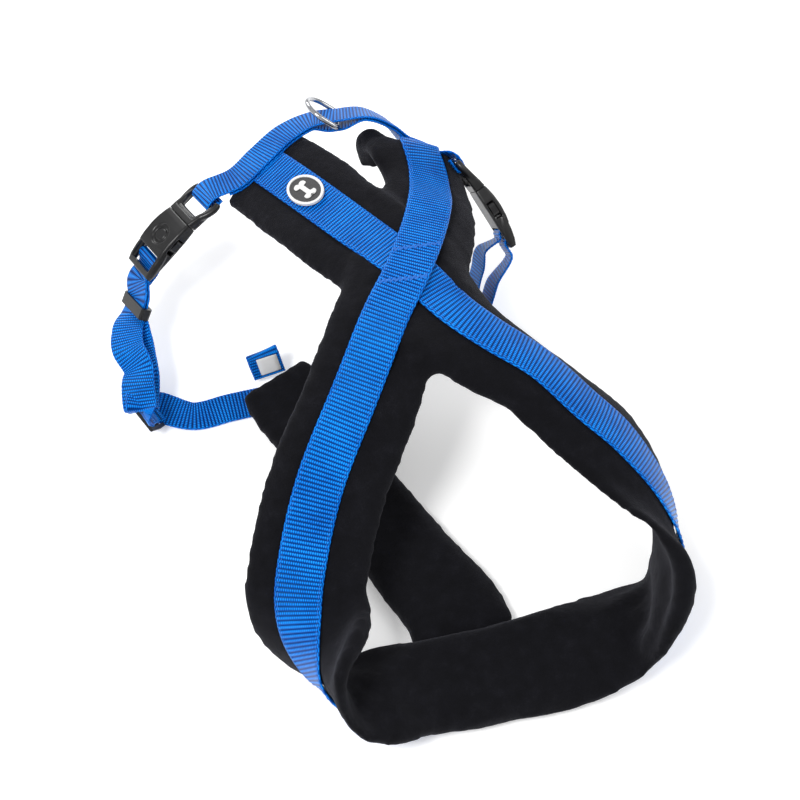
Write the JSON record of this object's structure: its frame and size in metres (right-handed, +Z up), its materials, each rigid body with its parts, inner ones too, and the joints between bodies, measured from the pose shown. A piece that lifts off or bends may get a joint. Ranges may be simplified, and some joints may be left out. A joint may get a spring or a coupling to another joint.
{
  "type": "no pull dog harness",
  "caption": "Padded figure-eight dog harness: fleece-covered pads with sewn webbing, girth straps with side-release buckles, keepers and slide adjusters, and a lead ring.",
  "frame": {"origin": "on the resting plane, at the flat underside of the belly webbing below the middle of the chest band", "axes": "+Z up, -Y towards the dog's head, +X to the dog's left"},
  "size_m": [0.3614, 0.4792, 0.1403],
  "materials": {
    "fleece": "short-pile fleece",
    "foam": "closed-cell foam, hidden",
    "blue_webbing": "ribbed nylon webbing",
    "blue_thread": "bonded thread",
    "black_plastic": "satin acetal",
    "steel": "polished",
    "black_rubber": "matte",
    "white_rubber": "matte",
    "white_label": "woven"
  },
  "bodies": {
    "harness": {"left_buckle_plug": "black_plastic", "right_buckle_plug": "black_plastic", "back_strap_upper": "blue_webbing", "back_strap_lower": "blue_webbing", "long_pad_cover": "fleece", "long_pad_core": "foam", "left_neck_pad_cover": "fleece", "left_neck_pad_core": "foam", "right_arm_pad_cover": "fleece", "right_arm_pad_core": "foam", "belly_pad_cover": "fleece", "belly_pad_core": "foam", "long_webbing": "blue_webbing", "crossing_webbing": "blue_webbing", "belly_webbing": "blue_webbing", "left_adjuster_strap": "blue_webbing", "right_adjuster_strap": "blue_webbing", "cross_stitch_rear": "blue_thread", "cross_stitch_front": "blue_thread", "badge_rim": "white_rubber", "badge_base": "black_rubber", "badge_motif": "white_rubber", "label_loop": "blue_webbing", "label_tag": "white_label"},
    "left_buckle": {"left_buckle_housing": "black_plastic"},
    "left_prong_a": {"left_prong_a": "black_plastic"},
    "left_prong_b": {"left_prong_b": "black_plastic"},
    "left_keeper": {"left_keeper": "black_plastic"},
    "left_glide": {"left_tri_glide": "black_plastic"},
    "right_buckle": {"right_buckle_housing": "black_plastic"},
    "right_prong_a": {"right_prong_a": "black_plastic"},
    "right_prong_b": {"right_prong_b": "black_plastic"},
    "right_keeper": {"right_keeper": "black_plastic"},
    "right_glide": {"right_tri_glide": "black_plastic"},
    "ring": {"lead_ring": "steel"}
  },
  "joints": [
    {"name": "left_release", "type": "slide", "parent": "harness", "child": "left_buckle", "axis": [-0.8202, -0.3701, -0.4361], "range_m": [0, 0.028], "deforming": ["left_prong_a", "left_prong_b", "left_adjuster_strap"]},
    {"name": "left_squeeze_a", "type": "hinge", "parent": "harness", "child": "left_prong_a", "pos_m": [-0.13123, 0.39111, 0.08471], "axis": [-0.4732, 0.0107, 0.8809], "range_deg": [0, 7]},
    {"name": "left_squeeze_b", "type": "hinge", "parent": "harness", "child": "left_prong_b", "pos_m": [-0.12512, 0.37346, 0.0882], "axis": [-0.4732, 0.0107, 0.8809], "range_deg": [-7, 0]},
    {"name": "left_keeper_slide", "type": "slide", "parent": "left_buckle", "child": "left_keeper", "axis": [0.5287, 0.419, 0.7382], "range_m": [-0.002, 0.002]},
    {"name": "left_adjust", "type": "slide", "parent": "harness", "child": "left_glide", "axis": [0.3909, 0.5713, -0.7217], "range_m": [0, 0.006], "deforming": ["left_adjuster_strap"]},
    {"name": "right_release", "type": "slide", "parent": "harness", "child": "right_buckle", "axis": [0.3802, -0.7203, -0.5802], "range_m": [0, 0.028], "deforming": ["right_prong_a", "right_prong_b", "right_adjuster_strap"]},
    {"name": "right_squeeze_a", "type": "hinge", "parent": "harness", "child": "right_prong_a", "pos_m": [0.09623, 0.34833, 0.08684], "axis": [0.9215, 0.2414, 0.3041], "range_deg": [0, 7]},
    {"name": "right_squeeze_b", "type": "hinge", "parent": "harness", "child": "right_prong_b", "pos_m": [0.09773, 0.36069, 0.07248], "axis": [0.9215, 0.2414, 0.3041], "range_deg": [-7, 0]},
    {"name": "right_keeper_slide", "type": "slide", "parent": "right_buckle", "child": "right_keeper", "axis": [0.9324, 0.3008, 0.2005], "range_m": [-0.002, 0.002]},
    {"name": "right_adjust", "type": "slide", "parent": "harness", "child": "right_glide", "axis": [-0.9986, -0.0499, -0.02], "range_m": [0, 0.006], "deforming": ["right_adjuster_strap"]},
    {"name": "ring_swing", "type": "hinge", "parent": "harness", "child": "ring", "pos_m": [0.00305, 0.4195, 0.11712], "axis": [-0.2097, -0.8954, 0.3929], "range_deg": [-95, 3]}
  ],
  "couplings": [
    {"joint": "left_squeeze_b", "follows": "left_squeeze_a", "ratio": -1},
    {"joint": "right_squeeze_b", "follows": "right_squeeze_a", "ratio": -1}
  ]
}
